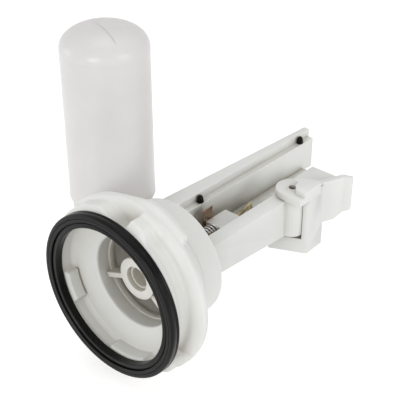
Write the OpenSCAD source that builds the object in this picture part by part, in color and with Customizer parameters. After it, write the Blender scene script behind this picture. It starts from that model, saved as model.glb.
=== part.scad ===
// Float valve that plugs into a tank neck: a bayonet collar with a lip seal, a valve drum, an open
// channel arm, and a float lever that turns on a pin at the end of the arm.
// Frame: origin at the centre of the mouth's front face, -Y out of the mouth, +Y along the arm,
// +Z along the float and the hinge pin.

/* [Neck and collar] */
// Outer radius of the rubber lip seal
seal_r = 39; // [34:0.5:48]
// Radial width of the lip seal
seal_w = 6.6; // [5.5:0.1:7]
// Thickness of the lip seal along the arm
seal_t = 4.4; // [3.5:0.1:6]
// How far the collar's rim stands out beyond the seal
rim_out = 3; // [2:0.1:6]
// Distance from the mouth to the back of the rim
rim_back_y = 20; // [18:0.5:24]
// Width of the rim's band
rim_w = 6.4; // [5:0.2:8]
// Number of bayonet grooves round the collar
groove_count = 3; // [2:1:4]
// Depth of a bayonet groove below the collar's surface
groove_depth = 6; // [3:0.2:6.4]
// Solid angle between two grooves, in degrees
groove_land = 12; // [8:1:30]

/* [Drum and valve] */
// Outer radius of the valve drum
drum_r = 28.3; // [23.5:0.1:34]
// Bore radius of the valve drum
drum_bore_r = 22.3; // [19:0.1:23]
// Distance from the mouth to the drum's back face
drum_back_y = 43.7; // [42:0.1:60]
// Thickness of the drum's back wall
back_wall = 5.7; // [4:0.1:8]
// Radius of the valve port
port_r = 7; // [6.6:0.1:9]
// Outer radius of the guide hub
hub_r = 10; // [9:0.1:12]
// Bore radius of the guide hub
hub_bore_r = 6; // [5:0.1:6.6]
// Length of the guide hub
hub_len = 6.5; // [5:0.1:7]
// Radius of the push rod
rod_r = 1.1; // [0.9:0.05:1.5]

/* [Channel arm] */
// Outer face of the rail, from the valve's axis
rail_x = 17; // [15:0.1:20]
// Inner face of the rail, from the valve's axis
rail_in_x = 9.3; // [8:0.1:10.5]
// Inner face of the arm wall, from the valve's axis
wall_in_x = 11; // [10:0.1:13]
// Half height of the channel arm
arm_half_h = 8.5; // [7:0.1:11]
// Extra depth of the rail at its hinge end
rail_drop = 3.9; // [0:0.1:5]
// Height of the rim above the ledge
rim_h = 3.7; // [2:0.1:6]
// Width of the ledge that carries the buffers
ledge_w = 3.4; // [3.2:0.1:5]
// Distance from the mouth to the end of the arm wall
wall_end_y = 162.7; // [150:0.1:196]
// Thickness of the arm wall's rim at its end
wall_end_t = 3.2; // [2.5:0.1:6]
// Thickness of the arm wall's rim at the drum
wall_root_t = 10.4; // [6:0.1:12]
// Wall thickness of the arm mouldings
web = 2.6; // [2:0.1:3]

/* [Hinge and lever] */
// Hinge pin's distance from the valve's axis, along X
pin_x = 15.6; // [14:0.1:18]
// Hinge pin's distance from the mouth, along Y
pin_y = 109.3; // [100:0.1:125]
// Radius of the hinge pin
pin_r = 2; // [1.5:0.05:2.5]
// Outer radius of the hinge barrel at the end of the rail
barrel_r = 7.6; // [6:0.1:8]
// Thickness of the yoke's upper eye
eye_t = 3.4; // [2.5:0.1:5]
// Thickness of the yoke's lower block
foot_t = 8; // [6:0.1:12]
// Width of the lever arm
lever_w = 11; // [8:0.5:16]
// Thickness of the lever arm
lever_t = 5; // [4:0.1:7]
// Crank pin's distance from the hinge pin, across the arm
crank_dx = 17.8; // [16:0.1:21.5]
// Crank pin's distance from the hinge pin, along the arm
crank_dy = 7; // [4:0.1:9]

/* [Float] */
// Radius of the float
float_r = 20.9; // [16:0.1:21.5]
// Length of the float's moulded body
float_len = 86; // [60:1:120]
// Gap between the float and the widest part of the arm wall
float_gap = 7.6; // [4:0.1:20]
// Float axis, distance from the mouth
float_y = 55.9; // [50:0.1:70]
// Wall thickness of the float
float_wall = 1.4; // [1:0.1:2.5]

/* [Fits] */
// Radial clearance of a sliding or turning fit
run_gap = 0.05; // [0.02:0.01:0.09]
// Clearance between pieces that move past each other
free_gap = 0.35; // [0.3:0.05:0.6]
// Clearance of a piece set into another
seat_gap = 0.03; // [0.01:0.01:0.05]

/* [Hidden] */
$fn = 96;
eps = 0.02;

// Colours
white = [0.93, 0.93, 0.91];
milky = [0.95, 0.94, 0.93];
black = [0.07, 0.07, 0.07];
brass = [0.78, 0.66, 0.42];
bronze = [0.55, 0.42, 0.33];
steel = [0.75, 0.76, 0.78];

// Collar: stations along the arm, and radii
mouth_r = seal_r - seal_w;
rim_r = seal_r + rim_out;
collar_y = seal_t;
lip_r = seal_r - 0.5;
lip_t = 0.9;
tongue_in_r = mouth_r + 1.7;
tongue_out_r = tongue_in_r + 2.2;
tongue_h = 2;
land_r = rim_r - 1;
rim_front_y = rim_back_y - rim_w;
groove_y = collar_y + lip_t;
mouth_wall_r = mouth_r + 0.8;
mouth_cyl_y = 11.5;
throat_y = 16;
cone_end_y = rim_back_y + 10;
groove_pitch = 360 / groove_count;
groove_sweep = groove_pitch - groove_land;
first_start = 72;
lug_r = rim_r + 2;
lug_w = 4.5;
lug_angle = 60;
lug_start = 47;
pad_t = 2.6;
pads = [[187, 28], [260, 40], [7, 28], [80, 40]];

// Drum and valve
seat_proud = 0.5;
back_wall_y = drum_back_y - back_wall;
seat_y = back_wall_y - seat_proud;
seat_t = 2.5;
seat_r = port_r + 3.5;
poppet_r = seat_r + 1;
washer_t = 2;
lever_close = 18;
valve_travel = crank_dx * sin(lever_close) + crank_dy * (1 - cos(lever_close));
closed_gap = 0.1;
washer_back_y = seat_y - valve_travel - closed_gap;
washer_front_y = washer_back_y - washer_t;
poppet_t = 3.2;
poppet_front_y = washer_front_y - poppet_t;
hub_back_y = poppet_front_y - 1.3;
hub_front_y = hub_back_y - hub_len;
stem_nose_y = hub_front_y + 2;
stem_r = hub_bore_r - run_gap;
nut_t = 1.5;
nut_r = port_r - 1.5;

// Channel
ledge_z = arm_half_h;
floor_z = -arm_half_h + 0.1;
floor_t = 2;
block_front_y = drum_back_y + 0.4 * (pin_y - drum_back_y);
block_len = 14;
block_z = 3;
block_left_x = -5.2;
bush_r = rod_r + 1.1;
leaf_t = 0.4;
leaf_top_z = 9.4;
spring_r = 3.6;
wire_r = 0.4;
spring_turns = 6;
rod_collar_t = 1.5;
spring_front_y = block_front_y - 11.5;
rod_elbow_y = block_front_y + block_len + 2.5;
buffer_ys = [drum_back_y + 30.7, wall_end_y - 10.1];
buffer_r = 1.8;
buffer_h = 3.8;

// Hinge and lever
rail_bottom_z = -arm_half_h - rail_drop;
eye_z = arm_half_h + free_gap;
eye_top_z = eye_z + eye_t;
block_top_z = eye_top_z + 2.8;
foot_z = rail_bottom_z - 1.1;
foot_bottom_z = foot_z - foot_t;
eye_r = barrel_r + 0.6;
foot_left_x = pin_x - 7;
yoke_out_x = pin_x + 10.5;
foot_front_y = pin_y - 0.4;
yoke_back_y = pin_y + 12.3;
rear_end_y = pin_y + 27.8;
tab_at = [yoke_out_x - 1.1, yoke_back_y - 2];
tab_turn = 67;
tab_len = 13;
tab_z = rail_bottom_z + 3.2;
tab_top_z = block_top_z - 1.6;
lever_z = foot_bottom_z + 1;
crank_x = pin_x - crank_dx;
crank_y = pin_y - crank_dy;
crank_pin_r = 1;
crank_slot_w = 2 * (crank_pin_r + 0.3);
rod_eye_top_z = -4.2;
rod_eye_t = 3.8;
rod_end_y = crank_y - crank_slot_w / 2 - 2;
boss_top_z = rod_eye_top_z - rod_eye_t - free_gap;
floor_end_y = rod_end_y - 7;
strip_end_y = wall_end_y - 9;
lever_bend = [crank_x - 21.8, pin_y - 25.3];

// Float
float_x = wall_in_x + ledge_w + wall_root_t + float_r + float_gap;
float_at = [-float_x, float_y];
cap_h = 12;
cap_top_z = 7;
cap_bottom_z = cap_top_z - cap_h;
cap_r = float_r - 1.5;
float_top_z = cap_top_z + float_len;
dome_h = 11.4;
post_r = 7;
screw_r = 2;

// Turns local +Z to +Y, keeping X
module along_y() {
    rotate([-90, 0, 0]) children();
}

// A ring or disc about the valve's axis, from y0 to y1
module y_tube(r_out, r_in, y0, y1) {
    translate([0, y0, 0]) along_y() difference() {
        cylinder(r = r_out, h = y1 - y0);
        translate([0, 0, -1]) cylinder(r = r_in, h = y1 - y0 + 2);
    }
}

module y_rod(r, y0, y1, at = [0, 0]) {
    translate([at[0], y0, at[1]]) along_y() cylinder(r = r, h = y1 - y0);
}

// A profile of [radius, y] points turned about the valve's axis through a sweep of angles,
// counted from +X towards +Z
module y_turn(points, from = 0, sweep = 360) {
    along_y() rotate([0, 0, -(from + sweep)]) rotate_extrude(angle = sweep) polygon(points);
}

module box(x0, x1, y0, y1, z0, z1) {
    translate([x0, y0, z0]) cube([x1 - x0, y1 - y0, z1 - z0]);
}

// ---- Neck ----

module seal_ring() {
    round_r = 0.9;
    step_y = 0.5;
    notch_r = tongue_in_r + 0.4;
    color(black) y_turn([
        [mouth_r, step_y], [notch_r, step_y], [notch_r, 1.1], [notch_r + 0.7, 1.1], [notch_r + 0.7, 0],
        [seal_r - round_r, 0], [seal_r - 0.26, 0.26], [seal_r, round_r], [seal_r, seal_t],
        [tongue_out_r + seat_gap, seal_t], [tongue_out_r + seat_gap, seal_t - tongue_h - seat_gap],
        [tongue_in_r - seat_gap, seal_t - tongue_h - seat_gap], [tongue_in_r - seat_gap, seal_t],
        [mouth_r, seal_t]
    ]);
}

module collar_shell() {
    y_turn([
        [tongue_in_r, collar_y - tongue_h], [tongue_out_r, collar_y - tongue_h],
        [tongue_out_r, collar_y], [lip_r, collar_y], [lip_r, groove_y], [land_r, groove_y + 2],
        [land_r, rim_front_y - 0.8], [rim_r - 0.3, rim_front_y], [rim_r, rim_front_y + 1],
        [rim_r, rim_back_y - 2.6], [rim_r - 0.5, rim_back_y - 1.2], [rim_r - 1.8, rim_back_y],
        [drum_r + 0.6, cone_end_y], [drum_bore_r, cone_end_y],
        [drum_bore_r, throat_y], [mouth_wall_r - 3, mouth_cyl_y + 0.6], [mouth_wall_r, mouth_cyl_y - 1.4],
        [mouth_wall_r, collar_y], [tongue_in_r, collar_y]
    ]);
}

// A bayonet groove: its floor is turned about a shifted centre, so that it starts flush with the
// collar and runs down to a square stop
module bayonet_groove(start) {
    shift = groove_depth / (1 - cos(groove_sweep));
    floor_r = land_r - shift;
    top_y = rim_front_y + 0.6;
    intersection() {
        rotate([0, -start, 0]) translate([shift, 0, 0]) y_turn([
            [floor_r + 3.2, groove_y], [floor_r + 1.2, groove_y + 0.9], [floor_r, groove_y + 2.8],
            [floor_r, rim_front_y - 2.6], [floor_r + 1.2, rim_front_y - 0.9], [floor_r + 3.6, top_y],
            [rim_r + 20, top_y + 0.8], [rim_r + 20, groove_y]
        ]);
        y_turn([
            [mouth_wall_r + 1, groove_y - 1], [rim_r + 5, groove_y - 1], [rim_r + 5, rim_back_y],
            [mouth_wall_r + 1, rim_back_y]
        ], start - groove_sweep, groove_sweep);
    }
}

module bayonet_collar() {
    color(white) union() {
        difference() {
            collar_shell();
            for (i = [0 : groove_count - 1])
                bayonet_groove(first_start - i * groove_pitch);
        }
        for (i = [0 : 1])
            y_turn([
                [rim_r - 3, rim_back_y - 2], [rim_r - 0.2, rim_back_y - 2], [lug_r - 0.6, rim_back_y - 1.2],
                [lug_r, rim_back_y], [lug_r - 0.3, rim_back_y + lug_w - 2.2],
                [lug_r - 1.6, rim_back_y + lug_w - 1], [drum_r + 6, rim_back_y + lug_w - 1]
            ], lug_start + 180 * i, lug_angle);
        for (pad = pads)
            y_turn([
                [mouth_wall_r - pad_t, collar_y], [mouth_wall_r + 0.6, collar_y],
                [mouth_wall_r + 0.6, mouth_cyl_y - 1], [mouth_wall_r - pad_t, mouth_cyl_y]
            ], pad[0], pad[1]);
    }
}

module valve_drum() {
    edge = 1.4;
    color(white) difference() {
        y_turn([
            [0, back_wall_y], [drum_bore_r, back_wall_y], [drum_bore_r, cone_end_y], [drum_r, cone_end_y],
            [drum_r, drum_back_y - edge], [drum_r - 0.4, drum_back_y - 0.4],
            [drum_r - edge, drum_back_y], [0, drum_back_y]
        ]);
        y_rod(port_r, back_wall_y - 1, drum_back_y + 1);
        y_rod(seat_r + seat_gap, back_wall_y - 1, seat_y + seat_t);
    }
}

module guide_spider() {
    rib_t = 2.3;
    ring_t = 1;
    ring_r = drum_bore_r - seat_gap;
    rib_front_y = hub_front_y + 1.2;
    color(white) union() {
        y_tube(hub_r, hub_bore_r, hub_front_y, hub_back_y);
        y_tube(ring_r, ring_r - ring_t, hub_back_y - 2.5, hub_back_y);
        for (a = [81 : 120 : 321])
            rotate([0, -a, 0]) box(
                hub_r - 0.6, ring_r - ring_t / 2, rib_front_y, hub_back_y, -rib_t / 2, rib_t / 2
            );
    }
}

module valve_seat() {
    color(white) y_turn([
        [port_r, seat_y + 0.3], [port_r + 0.3, seat_y], [port_r + 1.8, seat_y], [port_r + 2.2, seat_y + 0.4],
        [seat_r, back_wall_y], [seat_r, seat_y + seat_t], [port_r, seat_y + seat_t]
    ]);
}

// ---- Arm ----

// Side view of the rail, as [y, z], with its lower edge sloping down to the hinge
module rail_side(inset) {
    polygon([
        [drum_back_y + inset, arm_half_h - inset], [pin_y, arm_half_h - inset],
        [pin_y, rail_bottom_z + inset], [drum_back_y + inset, -arm_half_h + 1 + inset]
    ]);
}

module side_plate(x0, x1) {
    translate([x0, 0, 0]) rotate([90, 0, 90]) linear_extrude(height = x1 - x0) children();
}

module arm_rail() {
    pocket_end_y = pin_y - barrel_r - 4;
    color(white) difference() {
        union() {
            side_plate(rail_in_x, rail_x) rail_side(0);
            translate([pin_x, pin_y, rail_bottom_z]) rotate_extrude() polygon([
                [0, 0], [barrel_r - 2, 0], [barrel_r - 0.6, 0.6], [barrel_r, 2],
                [barrel_r, arm_half_h - rail_bottom_z], [0, arm_half_h - rail_bottom_z]
            ]);
        }
        intersection() {
            side_plate(rail_in_x - 1, rail_x - web) rail_side(web);
            box(rail_in_x - 2, rail_x, drum_back_y, pocket_end_y, -30, 30);
        }
        translate([pin_x, pin_y, rail_bottom_z - 1])
            cylinder(r = pin_r + run_gap, h = arm_half_h - rail_bottom_z + 2);
    }
}

// Plan of the arm wall's rim, as [x, y]
module wall_rim_plan(inset) {
    inner = -wall_in_x - ledge_w;
    polygon([
        [inner, drum_back_y + inset], [inner - wall_root_t + inset, drum_back_y + inset],
        [inner - wall_end_t + inset, wall_end_y - inset], [inner, wall_end_y - inset]
    ]);
}

module arm_wall() {
    inner = -wall_in_x - ledge_w;
    bottom_z = -arm_half_h + 0.1;
    color(white) difference() {
        union() {
            box(inner - eps, -wall_in_x, drum_back_y, wall_end_y - 1, bottom_z, ledge_z);
            translate([0, 0, bottom_z]) linear_extrude(height = ledge_z + rim_h - bottom_z) wall_rim_plan(0);
        }
        translate([0, 0, bottom_z - 1])
            linear_extrude(height = ledge_z + rim_h - bottom_z + 1 - web)
            intersection() {
                wall_rim_plan(web);
                translate([inner - wall_root_t, drum_back_y + web])
                    square([wall_root_t - eps, wall_end_y - drum_back_y - 40]);
            }
        for (y = buffer_ys)
            translate([-wall_in_x - ledge_w / 2, y, ledge_z - 3]) cylinder(r = 1 + seat_gap, h = 4);
    }
}

module channel_floor() {
    color(white) union() {
        box(-wall_in_x, rail_in_x, drum_back_y, floor_end_y, floor_z, floor_z + floor_t);
        box(-wall_in_x, crank_x - 4.7, floor_end_y - 1, strip_end_y, floor_z, floor_z + floor_t);
    }
}

module guide_block() {
    end_y = block_front_y + block_len;
    color(white) difference() {
        box(block_left_x, rail_in_x, block_front_y, end_y, floor_z + floor_t, block_z);
        y_rod(bush_r + seat_gap, block_front_y - 1, end_y + 1);
    }
}

module guide_bush() {
    flange_t = 0.8;
    end_y = block_front_y + block_len;
    color(brass) union() {
        y_tube(bush_r, rod_r + run_gap, block_front_y, end_y);
        y_tube(bush_r + 0.6, bush_r - 0.3, end_y, end_y + flange_t);
        y_tube(bush_r, rod_r + run_gap, end_y, end_y + flange_t);
    }
}

module keeper_leaf() {
    foot_end_y = block_front_y + block_len - 2;
    tall_start_y = block_front_y - 2;
    tall_end_y = block_front_y + 4.8;
    x1 = block_left_x;
    x0 = x1 - leaf_t;
    color(bronze) difference() {
        union() {
            box(x0, x1, tall_start_y, tall_end_y, -4, leaf_top_z);
            box(x0, x1, tall_end_y - 1, foot_end_y, -4, block_z - 0.6);
        }
        translate([x0 - 1, block_front_y + 0.2, block_z + 1.2]) rotate([0, 90, 0]) cylinder(r = 0.9, h = 3);
        for (y = [block_front_y + 3, foot_end_y - 2.5])
            translate([x0 - 1, y, -1]) rotate([0, 90, 0]) cylinder(r = 0.8, h = 3);
    }
}

module leaf_rivets() {
    foot_end_y = block_front_y + block_len - 2;
    color(steel)
        for (y = [block_front_y + 3, foot_end_y - 2.5])
            translate([block_left_x - leaf_t, y, -1]) rotate([0, -90, 0]) rotate_extrude() polygon([
                [0, -leaf_t], [0.8 - seat_gap, -leaf_t], [0.8 - seat_gap, 0], [1.4, 0], [1.1, 0.5], [0, 0.7]
            ]);
}

module ledge_buffers() {
    color(black)
        for (y = buffer_ys)
            translate([-wall_in_x - ledge_w / 2, y, ledge_z]) rotate_extrude() polygon([
                [0, -2.9], [1, -2.9], [1, 0], [buffer_r - 0.2, 0], [buffer_r, 0.4], [buffer_r - 0.4, 2.6],
                [buffer_r * 0.55, buffer_h - 0.4], [buffer_r * 0.3, buffer_h], [0, buffer_h]
            ]);
}

// ---- Valve slide ----

module push_rod() {
    tail_len = norm([crank_x, rod_end_y - rod_elbow_y]);
    elbow_r = rod_r + 0.04;
    tail_z = rod_eye_top_z - rod_eye_t + 0.6;
    color(brass) union() {
        y_rod(rod_r, poppet_front_y + 1.2, rod_elbow_y);
        translate([0, rod_elbow_y, 0]) {
            along_y() sphere(r = elbow_r);
            rotate([0, 0, atan2(-crank_x, rod_end_y - rod_elbow_y)]) along_y()
                cylinder(r = rod_r, h = tail_len);
        }
        translate([crank_x, rod_end_y, 0]) {
            rotate([45, 0, 0]) sphere(r = elbow_r);
            translate([0, 0, tail_z]) cylinder(r = rod_r, h = -tail_z);
        }
    }
}

module poppet() {
    hollow_r = stem_r - 1.3;
    hollow_len = poppet_front_y - stem_nose_y - 0.6;
    color(white) difference() {
        union() {
            y_rod(poppet_r, poppet_front_y, washer_front_y);
            y_rod(stem_r, stem_nose_y, poppet_front_y + 0.5);
        }
        y_rod(hollow_r, stem_nose_y - 1, stem_nose_y + hollow_len);
        y_rod(rod_r + seat_gap, poppet_front_y + 1.2 - seat_gap, washer_front_y + 1);
    }
}

module poppet_washer() {
    color(black) y_tube(poppet_r - 0.3, rod_r + seat_gap, washer_front_y, washer_back_y);
}

module washer_nut() {
    color(brass) y_tube(nut_r, rod_r + seat_gap, washer_back_y, washer_back_y + nut_t);
}

module rod_collar() {
    color(brass) y_tube(spring_r + 0.9, rod_r + seat_gap, spring_front_y - rod_collar_t, spring_front_y);
}

// Stands for the coil: closed rings at the coil's pitch
module return_spring() {
    run = block_front_y - spring_front_y - 2 * wire_r - 0.1;
    color(steel)
        for (i = [0 : spring_turns])
            translate([0, spring_front_y + wire_r + 0.05 + i * run / spring_turns, 0]) along_y()
                rotate_extrude() translate([spring_r, 0]) circle(r = wire_r, $fn = 24);
}

module rod_eye() {
    half_x = 4;
    slot_half_x = 2.5;
    mid_x = crank_x - 0.3;
    bottom_z = rod_eye_top_z - rod_eye_t;
    color(white) difference() {
        box(mid_x - half_x, mid_x + half_x, rod_end_y - 2.2, crank_y + crank_slot_w / 2 + 1.8,
            bottom_z, rod_eye_top_z);
        box(
            mid_x - slot_half_x, mid_x + slot_half_x, crank_y - crank_slot_w / 2,
            crank_y + crank_slot_w / 2, bottom_z - 1, rod_eye_top_z + 1
        );
        translate([crank_x, rod_end_y, bottom_z + 0.6 - seat_gap])
            cylinder(r = rod_r + seat_gap, h = rod_eye_t);
    }
}

// ---- Lever ----

// Plan of the yoke's column, its front face running obliquely back
module yoke_plan() {
    polygon([
        [foot_left_x, foot_front_y - 8.2], [yoke_out_x, foot_front_y], [yoke_out_x - 0.5, yoke_back_y],
        [foot_left_x + 5.6, yoke_back_y - 6], [foot_left_x, yoke_back_y - 8]
    ]);
}

module yoke_body() {
    // upper eye, with a flat front
    translate([pin_x, pin_y, eye_z]) cylinder(r = eye_r, h = eye_t);
    box(pin_x, yoke_out_x, pin_y - eye_r, pin_y + 4, eye_z, eye_top_z);
    // raised top block
    translate([0, 0, eye_z]) linear_extrude(height = block_top_z - eye_z) polygon([
        [pin_x - 1.4, pin_y + 4.2], [pin_x + 2.8, pin_y - 1.6], [pin_x + 5.4, pin_y - 4.6],
        [yoke_out_x, pin_y - 4.6], [yoke_out_x, yoke_back_y - 4], [yoke_out_x - 1.2, yoke_back_y - 2.2]
    ]);
    // column and foot
    translate([0, 0, foot_bottom_z]) linear_extrude(height = foot_t) yoke_plan();
    translate([0, 0, foot_bottom_z]) linear_extrude(height = eye_top_z - foot_bottom_z) intersection() {
        yoke_plan();
        translate([pin_x - 1.4, pin_y - 2]) square([20, 20]);
    }
    // rear block
    box(foot_left_x - 1.6, yoke_out_x - 4.4, yoke_back_y - 8, rear_end_y, foot_z, arm_half_h);
}

// Side tab: a plate with a turned edge and a bevelled lower corner
module yoke_tab() {
    tab_t = 3;
    edge = 3.6;
    bevel = 5;
    translate([tab_at[0], tab_at[1], 0]) intersection() {
        translate([0, 0, tab_z]) linear_extrude(height = tab_top_z - tab_z) rotate([0, 0, tab_turn]) polygon([
            [-3, 0], [tab_len, 0], [tab_len + edge * cos(40), -edge * sin(40)],
            [tab_len + edge * cos(40) + 1.6, 1.4 - edge * sin(40)], [tab_len + 1, tab_t], [-3, tab_t]
        ]);
        rotate([0, 0, tab_turn]) translate([0, 10, 0]) rotate([90, 0, 0]) linear_extrude(20) polygon([
            [-4, tab_z], [tab_len - bevel, tab_z], [tab_len + edge + 2, tab_z + bevel + 1.4],
            [tab_len + edge + 2, tab_top_z], [-4, tab_top_z]
        ]);
    }
}

module yoke() {
    slot_w = 2.2;
    color(white) difference() {
        union() {
            yoke_body();
            yoke_tab();
        }
        // room for the barrel
        translate([pin_x, pin_y, foot_z]) cylinder(r = barrel_r + free_gap, h = eye_z - foot_z);
        // seat of the pin and its snap-in slot
        translate([pin_x, pin_y, foot_bottom_z - 1]) cylinder(r = pin_r + seat_gap, h = 60);
        translate([pin_x, pin_y, eye_top_z - 1.4]) rotate([0, 0, 40])
            translate([0, -slot_w / 2, 0]) cube([6.4, slot_w, 3]);
    }
}

// A flat strip between two points of the plan
module strip_plan(a, b, w) {
    d = b - a;
    translate(a) rotate([0, 0, atan2(d[1], d[0])]) translate([0, -w / 2]) square([norm(d), w]);
}

module lever_plan() {
    root = [foot_left_x - lever_w / 2 - 0.55, pin_y - 1];
    stations = [root, [crank_x, crank_y], lever_bend, float_at];
    translate([root[0], root[1] - 3]) square([foot_left_x - root[0], 7]);
    for (i = [0 : 2])
        strip_plan(stations[i], stations[i + 1], lever_w);
    for (at = stations)
        translate(at) circle(r = lever_w / 2 + 0.5);
}

module lever_arm() {
    color(white) difference() {
        union() {
            translate([0, 0, lever_z]) linear_extrude(lever_t) lever_plan();
            translate([crank_x, crank_y, lever_z + 1]) cylinder(r = 3, h = boss_top_z - lever_z - 1);
        }
        translate([crank_x, crank_y, boss_top_z - 6]) cylinder(r = crank_pin_r + seat_gap, h = 12);
        translate([float_at[0], float_at[1], lever_z - 1]) cylinder(r = screw_r + 0.2, h = lever_t + 2);
    }
}

module hinge_pin() {
    color(steel) translate([pin_x, pin_y, foot_bottom_z + 1])
        cylinder(r = pin_r, h = eye_top_z - 2.2 - foot_bottom_z - 1);
}

module crank_pin() {
    color(steel) translate([crank_x, crank_y, boss_top_z - 6 + seat_gap])
        cylinder(r = crank_pin_r, h = rod_eye_top_z + 0.8 - boss_top_z + 6);
}

module float_post() {
    color(white) translate([float_at[0], float_at[1], lever_z + lever_t]) difference() {
        cylinder(r = post_r, h = cap_bottom_z - lever_z - lever_t);
        translate([0, 0, -1]) cylinder(r = screw_r + 0.2, h = 40);
    }
}

module float_cap() {
    spigot_h = 6;
    spigot_r = float_r - float_wall - seat_gap;
    color(milky) translate([float_at[0], float_at[1], 0]) difference() {
        rotate_extrude() polygon([
            [0, cap_bottom_z], [cap_r - 2, cap_bottom_z], [cap_r - 0.5, cap_bottom_z + 0.6],
            [cap_r, cap_bottom_z + 2], [cap_r, cap_top_z], [spigot_r, cap_top_z],
            [spigot_r, cap_top_z + spigot_h], [spigot_r - 2, cap_top_z + spigot_h],
            [spigot_r - 2, cap_bottom_z + 2.4], [screw_r + 3, cap_bottom_z + 2.4],
            [screw_r + 3, cap_top_z], [0, cap_top_z]
        ]);
        translate([0, 0, cap_bottom_z - 1]) cylinder(r = screw_r + seat_gap, h = cap_h - 1);
    }
}

// Dome outline from the shoulder to the crown, as [radius, height]
function dome(r, h, z, steps) = [
    for (i = [0 : steps]) [r * pow(cos(90 * i / steps), 0.88), z + h * pow(sin(90 * i / steps), 0.88)]
];

module float_body() {
    shoulder_z = float_top_z - dome_h;
    inner_r = float_r - float_wall;
    outer = dome(float_r - 0.2, dome_h, shoulder_z, 16);
    inner = dome(inner_r - 0.2, dome_h - float_wall, shoulder_z, 16);
    color(milky) translate([float_at[0], float_at[1], 0]) rotate_extrude() polygon(concat(
        [[float_r, cap_top_z]], outer, [for (i = [16 : -1 : 0]) inner[i]], [[inner_r, cap_top_z]]
    ));
}

module float_screw() {
    head_r = 3.8;
    head_h = 2.4;
    color(steel) translate([float_at[0], float_at[1], 0]) difference() {
        union() {
            translate([0, 0, lever_z - head_h]) cylinder(r = head_r, h = head_h);
            translate([0, 0, lever_z - eps]) cylinder(r = screw_r, h = cap_top_z - 2.2 - lever_z);
        }
        translate([0, 0, lever_z - head_h - 1]) cylinder(r = 1.7, h = 2.4, $fn = 6);
    }
}

seal_ring();
bayonet_collar();
valve_drum();
guide_spider();
valve_seat();
arm_rail();
arm_wall();
channel_floor();
guide_block();
guide_bush();
keeper_leaf();
leaf_rivets();
ledge_buffers();
push_rod();
poppet();
poppet_washer();
washer_nut();
rod_collar();
return_spring();
rod_eye();
yoke();
lever_arm();
hinge_pin();
crank_pin();
float_post();
float_cap();
float_body();
float_screw();
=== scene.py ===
"""Looks for the float valve: softened white mouldings, rubber lip seal, milky float and small metal parts."""
import math

import bpy
from mathutils import Matrix, Vector


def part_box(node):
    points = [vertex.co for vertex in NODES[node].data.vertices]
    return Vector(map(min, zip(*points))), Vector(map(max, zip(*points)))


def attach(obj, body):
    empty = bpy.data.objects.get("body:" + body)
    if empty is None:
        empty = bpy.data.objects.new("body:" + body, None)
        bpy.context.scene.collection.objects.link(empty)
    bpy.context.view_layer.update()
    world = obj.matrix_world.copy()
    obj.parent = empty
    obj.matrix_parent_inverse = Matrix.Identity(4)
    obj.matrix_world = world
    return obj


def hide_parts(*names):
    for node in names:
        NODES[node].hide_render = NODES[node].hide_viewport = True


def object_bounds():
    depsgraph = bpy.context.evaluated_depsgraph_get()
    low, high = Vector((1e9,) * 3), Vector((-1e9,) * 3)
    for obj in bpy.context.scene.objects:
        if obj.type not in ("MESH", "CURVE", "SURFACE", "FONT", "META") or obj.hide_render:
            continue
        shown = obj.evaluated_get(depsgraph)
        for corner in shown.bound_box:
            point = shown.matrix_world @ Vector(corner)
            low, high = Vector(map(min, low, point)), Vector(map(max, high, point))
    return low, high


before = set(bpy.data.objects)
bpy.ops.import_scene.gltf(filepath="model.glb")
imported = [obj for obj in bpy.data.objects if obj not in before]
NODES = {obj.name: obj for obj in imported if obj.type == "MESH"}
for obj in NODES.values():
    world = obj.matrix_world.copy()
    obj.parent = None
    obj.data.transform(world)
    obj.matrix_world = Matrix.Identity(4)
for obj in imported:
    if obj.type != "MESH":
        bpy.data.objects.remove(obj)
cad_low, cad_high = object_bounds()
MM = 0.001

# ---- Sizes, in millimetres in the row frame ----
SEAL_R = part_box("seal_ring")[1][0] / MM
SEAL_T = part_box("seal_ring")[1][1] / MM
MOUTH_R = SEAL_R - 6.6
WALL_R = MOUTH_R + 0.8
LIP_R = SEAL_R - 0.5
LAND_R = SEAL_R + 2
RIM_R = SEAL_R + 3
LUG_R = SEAL_R + 4.2
DRUM_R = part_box("valve_drum")[1][0] / MM
DRUM_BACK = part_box("valve_drum")[1][1] / MM
BORE_R = 22.3
FLOAT_LOW, FLOAT_HIGH = [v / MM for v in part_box("float_body")]
FLOAT_AT = ((FLOAT_LOW[0] + FLOAT_HIGH[0]) / 2, (FLOAT_LOW[1] + FLOAT_HIGH[1]) / 2)
FLOAT_R = (FLOAT_HIGH[0] - FLOAT_LOW[0]) / 2
FLOAT_SKIN_R = FLOAT_R - 0.2
DOME_H, DOME_POWER, DOME_STEPS = 11.4, 0.88, 28
SEAM_AT, SEAM_LENGTH = (4.2, -3.4), 24
SEAM_ALONG, SEAM_ACROSS = (0.957, -0.29), (0.29, 0.957)

# ---- Light and lens, in metres and degrees ----
TENT_HIGH, TENT_LOW = 0.6, 0.84
LENS_PLACE, LENS_WIDTH = (0.25829, -0.22631, 0.25998), 22.54
LENS_AZIMUTH, LENS_ELEVATION, LENS_ROLL = 42.04, 31.74, -0.28
LAMP_TARGET = (-0.01, 0.05, 0.01)
# name, place, size, power
LAMPS = (("overhead", (-0.15, 0.2, 0.9), 0.5, 1.0), ("front", (0.25, -0.8, 0.28), 0.3, 2.4),
         ("right", (0.75, 0.1, 0.3), 0.25, 1.3), ("left", (-0.7, -0.4, 0.2), 0.3, 0.7))

# painted shade in the hollows of white mouldings: how far the darkening reaches in metres, and its brownish
# tone
HOLLOW_SHADE_REACH, HOLLOW_SHADE_TONE = 0.018, (0.4, 0.37, 0.305)


# ---- Modelling helpers ----
def only(piece):
    """Selects one object and makes it active."""
    bpy.ops.object.select_all(action="DESELECT")
    piece.select_set(True)
    bpy.context.view_layer.objects.active = piece


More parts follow.
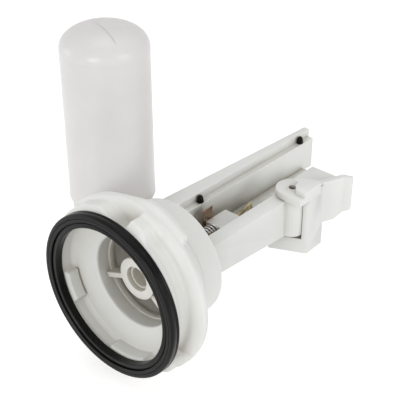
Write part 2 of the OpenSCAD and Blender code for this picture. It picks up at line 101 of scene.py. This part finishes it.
def clean(piece, fix_normals=True):
    """Merges doubled points, drops loose edges and turns the faces outwards."""
    only(piece)
    bpy.ops.object.mode_set(mode="EDIT")
    bpy.ops.mesh.select_all(action="SELECT")
    bpy.ops.mesh.remove_doubles(threshold=0.002 * MM)
    bpy.ops.mesh.delete_loose(use_verts=True, use_edges=True, use_faces=False)
    bpy.ops.mesh.select_all(action="SELECT")
    if fix_normals:
        bpy.ops.mesh.normals_make_consistent(inside=False)
    bpy.ops.object.mode_set(mode="OBJECT")


def bevel(piece, width):
    """Rounds the sharp edges and shades the rest smooth."""
    only(piece)
    edge = piece.modifiers.new("edges", "BEVEL")
    edge.width = width * MM
    edge.segments = 2
    edge.limit_method = "ANGLE"
    edge.angle_limit = math.radians(32)
    edge.miter_outer = "MITER_ARC"
    edge.use_clamp_overlap = True
    bpy.ops.object.modifier_apply(modifier="edges")
    bpy.ops.object.shade_smooth_by_angle(angle=math.radians(38))


def turned(name, outline, axis="Y", at=(0, 0, 0), steps=120, smooth=32):
    """Turns a closed outline of (radius, height) points about an axis through a point."""
    bpy.ops.object.select_all(action="DESELECT")
    bpy.ops.mesh.primitive_circle_add(vertices=len(outline), radius=MM)
    piece = bpy.context.object
    piece.name = name
    centre = Vector(at) * MM
    line = {"Y": Vector((0, 1, 0)), "Z": Vector((0, 0, 1))}[axis]
    for point, (radius, height) in zip(piece.data.vertices, outline):
        point.co = centre + Vector((radius * MM, 0, 0)) + line * height * MM
    bpy.ops.object.mode_set(mode="EDIT")
    bpy.ops.mesh.select_all(action="SELECT")
    bpy.ops.mesh.spin(steps=steps, angle=2 * math.pi, center=centre, axis=line)
    bpy.ops.object.mode_set(mode="OBJECT")
    clean(piece)
    bpy.ops.object.shade_smooth_by_angle(angle=math.radians(smooth))
    return piece


def rounded(corner, radius, start, end, steps):
    """Points of an arc about a corner's centre, angles in degrees."""
    return [
        (corner[0] + radius * math.cos(math.radians(start + (end - start) * i / steps)),
         corner[1] + radius * math.sin(math.radians(start + (end - start) * i / steps)))
        for i in range(steps + 1)
    ]


def divided(outline, longest):
    """The same closed outline with its long edges cut into shorter ones."""
    points = []
    for (r0, h0), (r1, h1) in zip(outline, outline[1:] + outline[:1]):
        count = max(1, math.ceil(math.hypot(r1 - r0, h1 - h0) / longest))
        points += [(r0 + (r1 - r0) * i / count, h0 + (h1 - h0) * i / count) for i in range(count)]
    return points


def softened(node, edge):
    """A copy of a moulded piece with its sharp edges rounded."""
    source = NODES[node]
    piece = source.copy()
    piece.data = source.data.copy()
    piece.name = node + "_moulding"
    piece.parent = None
    for key in list(piece.keys()):
        del piece[key]
    bpy.context.scene.collection.objects.link(piece)
    clean(piece, fix_normals=False)
    only(piece)
    bpy.ops.object.mode_set(mode="EDIT")
    bpy.ops.mesh.select_all(action="SELECT")
    bpy.ops.mesh.dissolve_limited(angle_limit=math.radians(0.6))
    bpy.ops.object.mode_set(mode="OBJECT")
    bevel(piece, edge)
    return piece


def finish_piece(piece, body, slot, material, *nodes):
    """Gives a piece its body and finish, and hides the nodes it stands for; slot is not used."""
    piece.data.materials.clear()
    piece.data.materials.append(material)
    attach(piece, body)
    if nodes:
        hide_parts(*nodes)
    return piece


def smoothstep(low, high, value):
    """Eases from 0 at low to 1 at high."""
    t = min(1, max(0, (value - low) / (high - low)))
    return t * t * (3 - 2 * t)


# ---- Materials ----
def new_material(name):
    material = bpy.data.materials.new(name)
    material.use_nodes = True
    tree = material.node_tree
    return material, tree, tree.nodes["Principled BSDF"]


def link(tree, source, target):
    tree.links.new(source, target)


def noise(tree, scale, detail=3, stretch=(1, 1, 1)):
    """Noise on the piece's own coordinates, optionally drawn out along an axis."""
    coords = tree.nodes.new("ShaderNodeTexCoord")
    mapping = tree.nodes.new("ShaderNodeMapping")
    mapping.inputs["Scale"].default_value = stretch
    texture = tree.nodes.new("ShaderNodeTexNoise")
    texture.inputs["Scale"].default_value = scale
    texture.inputs["Detail"].default_value = detail
    link(tree, coords.outputs["Object"], mapping.inputs["Vector"])
    link(tree, mapping.outputs["Vector"], texture.inputs["Vector"])
    return texture.outputs["Fac"]


def ramp(tree, value, stops):
    """A colour ramp of (position, colour) stops."""
    node = tree.nodes.new("ShaderNodeValToRGB")
    elements = node.color_ramp.elements
    while len(elements) < len(stops):
        elements.new(0.5)
    for element, (position, colour) in zip(elements, stops):
        element.position = position
        element.color = (*colour, 1)
    link(tree, value, node.inputs["Fac"])
    return node.outputs["Color"]


def span(tree, value, low, high, out_low, out_high):
    """Maps a value from one range to another."""
    node = tree.nodes.new("ShaderNodeMapRange")
    node.inputs["From Min"].default_value = low
    node.inputs["From Max"].default_value = high
    node.inputs["To Min"].default_value = out_low
    node.inputs["To Max"].default_value = out_high
    link(tree, value, node.inputs["Value"])
    return node.outputs["Result"]


def mix(tree, factor, first, second):
    """Blends two colours, each a tuple or another node's output."""
    node = tree.nodes.new("ShaderNodeMix")
    node.data_type = "RGBA"
    for socket, value in ((node.inputs[0], factor), (node.inputs[6], first), (node.inputs[7], second)):
        if isinstance(value, (int, float)):
            socket.default_value = value
        elif isinstance(value, tuple):
            socket.default_value = (*value, 1)
        else:
            link(tree, value, socket)
    return node.outputs[2]


def edge_wear(tree, amount, low, high):
    """Rises to amount on the outer edges, and is 0 on flat faces."""
    node = tree.nodes.new("ShaderNodeNewGeometry")
    return span(tree, node.outputs["Pointiness"], low, high, 0, amount)


def painted_hollow_shade(tree, reach, amount):
    """Painted shade: rises towards amount in hollows and inside corners, darkening them as if less light
    reached there.
    """
    node = tree.nodes.new("ShaderNodeAmbientOcclusion")
    node.samples = 8
    node.inputs["Distance"].default_value = reach
    return span(tree, node.outputs["AO"], 0.25, 0.95, amount, 0)


def bump(tree, shader, height, strength, distance):
    node = tree.nodes.new("ShaderNodeBump")
    node.inputs["Strength"].default_value = strength
    node.inputs["Distance"].default_value = distance
    link(tree, height, node.inputs["Height"])
    link(tree, node.outputs["Normal"], shader.inputs["Normal"])


def moulded_white(name, pale, warm, roughness, grain=0.12, haze=0.2, hollow_shade=0.8, streak=0.06):
    """Moulded plastic: faint flow clouding, satin grain, paler rubbed edges and painted shade in the hollows.
    """
    material, tree, shader = new_material(name)
    cloud = noise(tree, 38, 4, (1, 0.45, 1))
    base = ramp(tree, cloud, [(0.3, warm), (0.7, pale)])
    speck = noise(tree, 900, 2)
    grey = tuple(0.93 * c for c in warm)
    dusted = mix(tree, span(tree, speck, 0.66, 0.8, 0, 0.3), base, grey)
    rubbed = mix(tree, edge_wear(tree, 0.5, 0.5, 0.6), dusted, tuple(min(1, 1.05 * c) for c in pale))
    # painted shade: hollows and inside corners are darkened towards a brownish tone
    hollow_shaded = mix(tree, painted_hollow_shade(tree, HOLLOW_SHADE_REACH, hollow_shade), rubbed, HOLLOW_SHADE_TONE)
    link(tree, hollow_shaded, shader.inputs["Base Color"])
    link(tree, span(tree, noise(tree, 120, 3), 0.2, 0.8, roughness - streak, roughness + streak),
         shader.inputs["Roughness"])
    shader.inputs["IOR"].default_value = 1.48
    shader.inputs["Subsurface Weight"].default_value = haze
    shader.inputs["Subsurface Scale"].default_value = 0.003
    shader.inputs["Subsurface Radius"].default_value = (1, 0.98, 0.9)
    bump(tree, shader, noise(tree, 1400, 2), grain, 0.00008)
    return material


def seal_rubber():
    """Black moulded rubber: satin, with faint rings of bloom and dust."""
    material, tree, shader = new_material("Seal rubber")
    bloom = noise(tree, 60, 4)
    base = ramp(tree, bloom, [(0.35, (0.003, 0.003, 0.0028)), (0.7, (0.007, 0.007, 0.0065))])
    dust = mix(tree, span(tree, noise(tree, 1500, 2), 0.7, 0.8, 0, 0.2), base, (0.03, 0.03, 0.028))
    worn = mix(tree, edge_wear(tree, 0.3, 0.52, 0.62), dust, (0.018, 0.018, 0.017))
    shader.inputs["Specular IOR Level"].default_value = 0.16
    link(tree, worn, shader.inputs["Base Color"])
    link(tree, span(tree, bloom, 0.3, 0.7, 0.28, 0.42), shader.inputs["Roughness"])
    bump(tree, shader, noise(tree, 1100, 3), 0.15, 0.0001)
    return material


def drawn_metal(name, bright, dull, roughness, stretch):
    """Drawn or rolled metal: fine lines along the stock, dulled in patches."""
    material, tree, shader = new_material(name)
    patches = noise(tree, 160, 4)
    base = ramp(tree, patches, [(0.35, dull), (0.65, bright)])
    worn = mix(tree, edge_wear(tree, 0.6, 0.52, 0.62), base, tuple(min(1, 1.25 * c) for c in bright))
    link(tree, worn, shader.inputs["Base Color"])
    shader.inputs["Metallic"].default_value = 1
    lines = noise(tree, 700, 3, stretch)
    link(tree, span(tree, lines, 0.3, 0.7, roughness - 0.07, roughness + 0.1), shader.inputs["Roughness"])
    bump(tree, shader, lines, 0.2, 0.00005)
    return material


WHITE = moulded_white("White acetal", (0.84, 0.846, 0.822), (0.79, 0.794, 0.765), 0.42)
# parts deep in the bore get a darker, warmer copy of the white acetal: painted shade of the bore
SHADED_BORE_WHITE = moulded_white("White acetal, painted bore shade", (0.8, 0.785, 0.745), (0.74, 0.72, 0.675), 0.48)
MILKY = moulded_white("Milky float plastic", (0.82, 0.8, 0.79), (0.77, 0.75, 0.74), 0.3,
                      grain=0.06, haze=0.4, hollow_shade=0, streak=0.02)
RUBBER = seal_rubber()
BRASS = drawn_metal("Brass", (0.62, 0.52, 0.33), (0.34, 0.28, 0.18), 0.3, (6, 0.4, 6))
BRONZE = drawn_metal("Bronze leaf", (0.36, 0.25, 0.18), (0.2, 0.14, 0.1), 0.36, (1, 0.3, 5))
STEEL = drawn_metal("Bright steel", (0.72, 0.72, 0.72), (0.45, 0.45, 0.46), 0.18, (1, 1, 6))


# ---- Neck ----
def lip_seal():
    """The rubber ring, with a step inside its raised lip and a fine groove round its edge."""
    step, lip = 0.55, MOUTH_R + 2.2
    outline = [(MOUTH_R, 0.9), (MOUTH_R + 0.3, step), (lip - 0.25, step), (lip, step + 0.2), (lip + 0.1, 1.3),
               (lip + 0.5, 1.35), (lip + 0.6, 0.3), (lip + 0.9, 0.02), (lip + 2.1, 0.0), (lip + 2.25, 0.22),
               (lip + 2.4, 0.02)]
    outline += rounded((SEAL_R - 1.1, 1.1), 1.1, -90, 0, 6)
    outline += [(SEAL_R, 2.5), (SEAL_R - 0.18, 2.75), (SEAL_R, 3.0), (SEAL_R, SEAL_T - 0.35),
                (SEAL_R - 0.3, SEAL_T), (MOUTH_R + 0.3, SEAL_T), (MOUTH_R, SEAL_T - 0.3)]
    piece = turned("lip_seal", outline, steps=180, smooth=40)
    return finish_piece(piece, "housing", "seal_rubber", RUBBER, "seal_ring")


def angle_from(start, angle):
    """Degrees travelled clockwise from start to angle, 0 to 360."""
    return (start - angle) % 360


# start angle, clockwise sweep, share of the depth met at once, and where the rest begins
GROOVES = ((68, 102, 0.6, 0.25), (-46, 109, 0.6, 0.25), (-167, 116, 0.1, 0.76))
GROOVE_DEPTH = 6.4
LUG_ARCS = ((46, 107), (226, 287))
# start angle, end angle, thickness
PADS = ((187, 215, 2.6), (260, 300, 1.1), (7, 35, 2.6), (80, 120, 1.1))


def groove_depth(angle):
    """A groove drops in, deepens along its run and ends at a square stop."""
    for start, sweep, early, late in GROOVES:
        travelled = angle_from(start, angle)
        if travelled <= sweep + 1:
            share = min(travelled, sweep) / sweep
            depth = early * smoothstep(0, 0.1, share) + (1 - early) * smoothstep(late, 0.94, share)
            return GROOVE_DEPTH * depth * (1 - smoothstep(sweep - 0.8, sweep + 1, travelled))
    return 0


def inside_arc(angle, arc, rise, fall):
    """1 inside an arc of angles, easing in over rise and out over fall degrees."""
    travelled = (angle - arc[0]) % 360
    length = arc[1] - arc[0]
    if travelled > length:
        return 0
    return smoothstep(0, rise, travelled) * smoothstep(0, fall, length - travelled)


def collar_radius(radius, angle, y):
    """Moves a turned point in for the grooves and mouth pads, and out for the lugs."""
    pad_back, lug_back = 11.9, 24.3
    new = radius
    if radius > WALL_R + 4 and y > SEAL_T + 0.85:
        across = smoothstep(SEAL_T + 0.2, 8.2, y) * (1 - smoothstep(11.6, 16.8, y))
        new -= groove_depth(angle) * across
    if radius > DRUM_R + 4 and y > 17:
        lug = max(inside_arc(angle, arc, 5, 34) for arc in LUG_ARCS)
        top = LUG_R - 1.6 * smoothstep(20.6, 24, y) - 1.6 * (1 - smoothstep(16.6, 20, y))
        if y < lug_back and top > new:
            new += (top - new) * lug * (1 - smoothstep(23.4, lug_back, y))
    if abs(radius - WALL_R) < 2.8 and SEAL_T < y < pad_back and radius < WALL_R + 0.5:
        pad = max(inside_arc(angle, arc, 2, 2) * arc[2] for arc in PADS)
        along = smoothstep(SEAL_T + 0.3, SEAL_T + 1.1, y) * (1 - smoothstep(11, pad_back, y))
        new = min(new, WALL_R - pad * along)
    return new


def collar():
    """The bayonet collar: a turned body whose points are then moved by collar_radius."""
    tongue, seat, back, bore_back = SEAL_T - 1.9, SEAL_T + 0.02, 31.6, 30.1
    outline = [(WALL_R + 0.9, tongue), (WALL_R + 3.1, tongue), (WALL_R + 3.1, seat),
               (LIP_R - 0.4, seat), (LIP_R, SEAL_T + 0.35), (LIP_R, SEAL_T + 0.9),
               (LAND_R - 0.5, 6.9), (LAND_R, 7.6), (LAND_R, 12.9), (RIM_R - 0.25, 13.6), (RIM_R, 14.5),
               (RIM_R, 17.2), (RIM_R - 0.45, 18.8), (RIM_R - 1.8, 20), (DRUM_R + 1.6, 29),
               (DRUM_R + 0.3, 30.4), (DRUM_R + 0.05, back), (DRUM_R - 1.5, back),
               (BORE_R + 0.6, bore_back), (BORE_R, bore_back), (BORE_R, 16.3), (BORE_R + 0.4, 15.7),
               (WALL_R - 3.4, 12.6), (WALL_R - 1, 11.6), (WALL_R, 10), (WALL_R, seat), (WALL_R + 0.9, seat)]
    piece = turned("bayonet_collar", divided(outline, 0.65), steps=360, smooth=50)
    for point in piece.data.vertices:
        x, y, z = (c / MM for c in point.co)
        radius = math.hypot(x, z)
        new = collar_radius(radius, math.degrees(math.atan2(z, x)), y)
        point.co = Vector((x * new / radius, y, z * new / radius)) * MM
    return finish_piece(piece, "housing", "white_acetal", WHITE, "bayonet_collar")


def drum():
    """The valve drum: a cup with a rounded back and a hole for the valve's port."""
    inner = DRUM_BACK - 5.7
    outline = [(7, inner), (11.3, inner), (BORE_R, inner), (BORE_R, 30.15), (DRUM_R - 1.6, 30.15),
               (DRUM_R - 1.4, 31.7), (DRUM_R, 31.7)]
    outline += rounded((DRUM_R - 1.6, DRUM_BACK - 1.6), 1.6, 0, 90, 5)
    outline += [(7.4, DRUM_BACK), (7, DRUM_BACK - 0.4)]
    piece = turned("valve_drum_shell", outline, steps=160, smooth=40)
    return finish_piece(piece, "housing", "white_acetal", WHITE, "valve_drum")


# ---- Float ----
def dome(radius, height):
    """Outline of the domed top, from its shoulder to the axis."""
    shoulder = FLOAT_HIGH[2] - DOME_H
    return [
        (radius * math.cos(math.radians(90 * i / DOME_STEPS)) ** DOME_POWER,
         shoulder + height * math.sin(math.radians(90 * i / DOME_STEPS)) ** DOME_POWER)
        for i in range(DOME_STEPS)
    ] + [(0, shoulder + height)]


def dome_height(x, y):
    """Height of the dome's skin over a point beside the float's axis."""
    share = min(1, math.hypot(x, y) / FLOAT_SKIN_R) ** (1 / DOME_POWER)
    return FLOAT_HIGH[2] - DOME_H + DOME_H * math.sin(math.acos(share)) ** DOME_POWER


def dome_seam():
    """The fine pinch line that the mould leaves across the dome."""
    bpy.ops.object.select_all(action="DESELECT")
    bpy.ops.mesh.primitive_grid_add(x_subdivisions=60, y_subdivisions=6, size=2 * MM)
    piece = bpy.context.object
    piece.name = "dome_seam"
    along, across = Vector(SEAM_ALONG), Vector(SEAM_ACROSS)
    for point in piece.data.vertices:
        u, v = point.co.x / MM, point.co.y / MM
        x, y = Vector(SEAM_AT) + along * u * SEAM_LENGTH / 2 + across * v * 0.3
        rise = 0.14 * (1 - v * v) * (1 - u ** 4)
        point.co = Vector((FLOAT_AT[0] + x, FLOAT_AT[1] + y, dome_height(x, y) - 0.03 + rise)) * MM
    skin = piece.modifiers.new("skin", "SOLIDIFY")
    skin.thickness = 0.25 * MM
    skin.offset = -1
    only(piece)
    bpy.ops.object.modifier_apply(modifier="skin")
    clean(piece)
    bpy.ops.object.shade_smooth_by_angle(angle=math.radians(50))
    return finish_piece(piece, "lever", "float_plastic", MILKY)


def float_shell():
    """The float's wall: a bead round its foot, a faint taper and the dome."""
    base, shoulder, wall = FLOAT_LOW[2], FLOAT_HIGH[2] - DOME_H, 1.4
    rise = shoulder - 2.6 - base
    side = [(FLOAT_R, base + 0.3), (FLOAT_R, base + 1.2), (FLOAT_SKIN_R, base + 1.6)]
    side += [(FLOAT_SKIN_R - 0.12 * i / 8, base + 1.6 + rise * i / 8) for i in range(1, 9)]
    side += [(FLOAT_R - 0.26, shoulder - 0.5)]
    outer = [(FLOAT_R - 0.4, base)] + side + dome(FLOAT_SKIN_R, DOME_H)
    inner = dome(FLOAT_SKIN_R - wall, DOME_H - wall)[::-1] + [(FLOAT_R - wall, base)]
    piece = turned("float_shell", outer + inner, "Z", (*FLOAT_AT, 0), steps=180, smooth=60)
    return finish_piece(piece, "lever", "float_plastic", MILKY, "float_body")


# ---- Channel fittings ----
def wire_spring():
    """A coil of round wire, its ends just inside the length of the rings that it stands for."""
    low, high = [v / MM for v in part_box("return_spring")]
    wire_r, turns, end_gap = 0.4, 6, 0.06
    coil_r = (high[0] - low[0]) / 2 - wire_r
    bpy.ops.object.select_all(action="DESELECT")
    bpy.ops.mesh.primitive_circle_add(vertices=14, radius=wire_r * MM, location=(coil_r * MM, 0, 0))
    piece = bpy.context.object
    piece.name = "wire_spring"
    bpy.ops.object.transform_apply(location=True, rotation=True, scale=True)
    start = low[1] + wire_r + end_gap
    for point in piece.data.vertices:
        point.co.y += start * MM
    coil = piece.modifiers.new("coil", "SCREW")
    coil.axis = "Y"
    coil.angle = math.radians(360 * turns)
    coil.screw_offset = (high[1] - low[1] - 2 * wire_r - 2 * end_gap) * MM
    coil.steps = coil.render_steps = 36 * turns
    coil.use_merge_vertices = False
    only(piece)
    bpy.ops.object.modifier_apply(modifier="coil")
    bpy.ops.object.mode_set(mode="EDIT")
    bpy.ops.mesh.select_all(action="SELECT")
    bpy.ops.mesh.remove_doubles(threshold=0.001 * MM)
    bpy.ops.mesh.select_all(action="DESELECT")
    bpy.ops.mesh.select_non_manifold()
    bpy.ops.mesh.edge_face_add()
    bpy.ops.object.mode_set(mode="OBJECT")
    clean(piece)
    bpy.ops.object.shade_smooth_by_angle(angle=math.radians(50))
    return finish_piece(piece, "housing", "steel", STEEL, "return_spring")


# ---- Stage ----
def tent():
    """A pale tent round the piece: brightest low down, dimmer overhead and behind the lens."""
    world = bpy.data.worlds.new("tent")
    bpy.context.scene.world = world
    world.use_nodes = True
    tree = world.node_tree
    background = tree.nodes["Background"]
    coords = tree.nodes.new("ShaderNodeTexCoord")
    parts = tree.nodes.new("ShaderNodeSeparateXYZ")
    link(tree, coords.outputs["Generated"], parts.inputs["Vector"])
    height = span(tree, parts.outputs["Z"], -0.5, 0.8, TENT_LOW, TENT_HIGH)
    facing = tree.nodes.new("ShaderNodeVectorMath")
    facing.operation = "DOT_PRODUCT"
    facing.inputs[1].default_value = (0.62, -0.7, 0.35)
    link(tree, coords.outputs["Generated"], facing.inputs[0])
    shade = span(tree, facing.outputs["Value"], 0.2, 0.95, 1, 0.8)
    strength = tree.nodes.new("ShaderNodeMath")
    strength.operation = "MULTIPLY"
    link(tree, height, strength.inputs[0])
    link(tree, shade, strength.inputs[1])
    link(tree, strength.outputs[0], background.inputs["Strength"])
    background.inputs["Color"].default_value = (1, 1, 1, 1)


def studio():
    """The pale floor, the tent and the four soft lamps."""
    bpy.ops.object.select_all(action="DESELECT")
    bpy.ops.mesh.primitive_plane_add(size=6, location=(0, 0, cad_low[2] - 0.0006))
    floor = bpy.context.object
    floor.name = "floor"
    material, _, shader = new_material("Pale floor")
    shader.inputs["Base Color"].default_value = (0.95, 0.95, 0.95, 1)
    shader.inputs["Roughness"].default_value = 0.95
    shader.inputs["Specular IOR Level"].default_value = 0.1
    shader.inputs["Emission Color"].default_value = (1, 1, 1, 1)
    shader.inputs["Emission Strength"].default_value = 0.42
    floor.data.materials.append(material)
    floor.visible_diffuse = False
    tent()
    for name, place, size, power in LAMPS:
        bpy.ops.object.light_add(type="AREA", location=place)
        lamp = bpy.context.object
        lamp.name = name
        lamp.data.size = size
        lamp.data.energy = power
        towards = Vector(LAMP_TARGET) - Vector(place)
        lamp.rotation_euler = towards.to_track_quat("-Z", "Y").to_euler()


def camera():
    """The lens, above and to the right of the mouth."""
    azimuth, elevation, roll = (math.radians(v) for v in (LENS_AZIMUTH, LENS_ELEVATION, LENS_ROLL))
    ahead = Vector((-math.sin(azimuth) * math.cos(elevation), math.cos(azimuth) * math.cos(elevation),
                    -math.sin(elevation)))
    right = Vector((math.cos(azimuth), math.sin(azimuth), 0))
    up = right.cross(ahead)
    right, up = (right * math.cos(roll) + up * math.sin(roll), up * math.cos(roll) - right * math.sin(roll))
    lens = bpy.data.cameras.new("camera")
    lens.angle = math.radians(LENS_WIDTH)
    lens.clip_start = 0.01
    shot = bpy.data.objects.new("camera", lens)
    bpy.context.scene.collection.objects.link(shot)
    turn = Matrix((right, up, -ahead)).transposed()
    shot.matrix_world = Matrix.Translation(Vector(LENS_PLACE)) @ turn.to_4x4()
    bpy.context.scene.camera = shot


camera()
studio()
bpy.context.scene.view_settings.view_transform = "Standard"
lip_seal()
collar()
drum()
float_shell()
dome_seam()
wire_spring()

# node, body, slot, width of its softened edges, finish
SOFTENED = (
    ("guide_spider", "housing", "white_acetal", 0.25, SHADED_BORE_WHITE),
    ("valve_seat", "housing", "white_acetal", 0.15, SHADED_BORE_WHITE),
    ("arm_rail", "housing", "white_acetal", 0.45, WHITE),
    ("arm_wall", "housing", "white_acetal", 0.4, WHITE),
    ("channel_floor", "housing", "white_acetal", 0.2, WHITE),
    ("guide_block", "housing", "white_acetal", 0.4, WHITE),
    ("poppet", "valve", "white_acetal", 0.25, SHADED_BORE_WHITE),
    ("rod_eye", "valve", "white_acetal", 0.3, WHITE),
    ("yoke", "lever", "white_acetal", 0.9, WHITE),
    ("lever_arm", "lever", "white_acetal", 0.5, WHITE),
    ("float_post", "lever", "white_acetal", 0.3, WHITE),
    ("float_cap", "lever", "float_plastic", 0.4, MILKY),
    ("ledge_buffers", "housing", "seal_rubber", 0.2, RUBBER),
    ("poppet_washer", "valve", "seal_rubber", 0.2, RUBBER),
    ("push_rod", "valve", "brass", 0.1, BRASS),
    ("guide_bush", "housing", "brass", 0.1, BRASS),
    ("washer_nut", "valve", "brass", 0.15, BRASS),
    ("rod_collar", "valve", "brass", 0.15, BRASS),
    ("keeper_leaf", "housing", "bronze", 0.08, BRONZE),
    ("leaf_rivets", "housing", "steel", 0.08, STEEL),
    ("hinge_pin", "lever", "steel", 0.25, STEEL),
    ("crank_pin", "lever", "steel", 0.15, STEEL),
    ("float_screw", "lever", "steel", 0.2, STEEL),
)
for node, body, slot, edge, material in SOFTENED:
    finish_piece(softened(node, edge), body, slot, material, node)
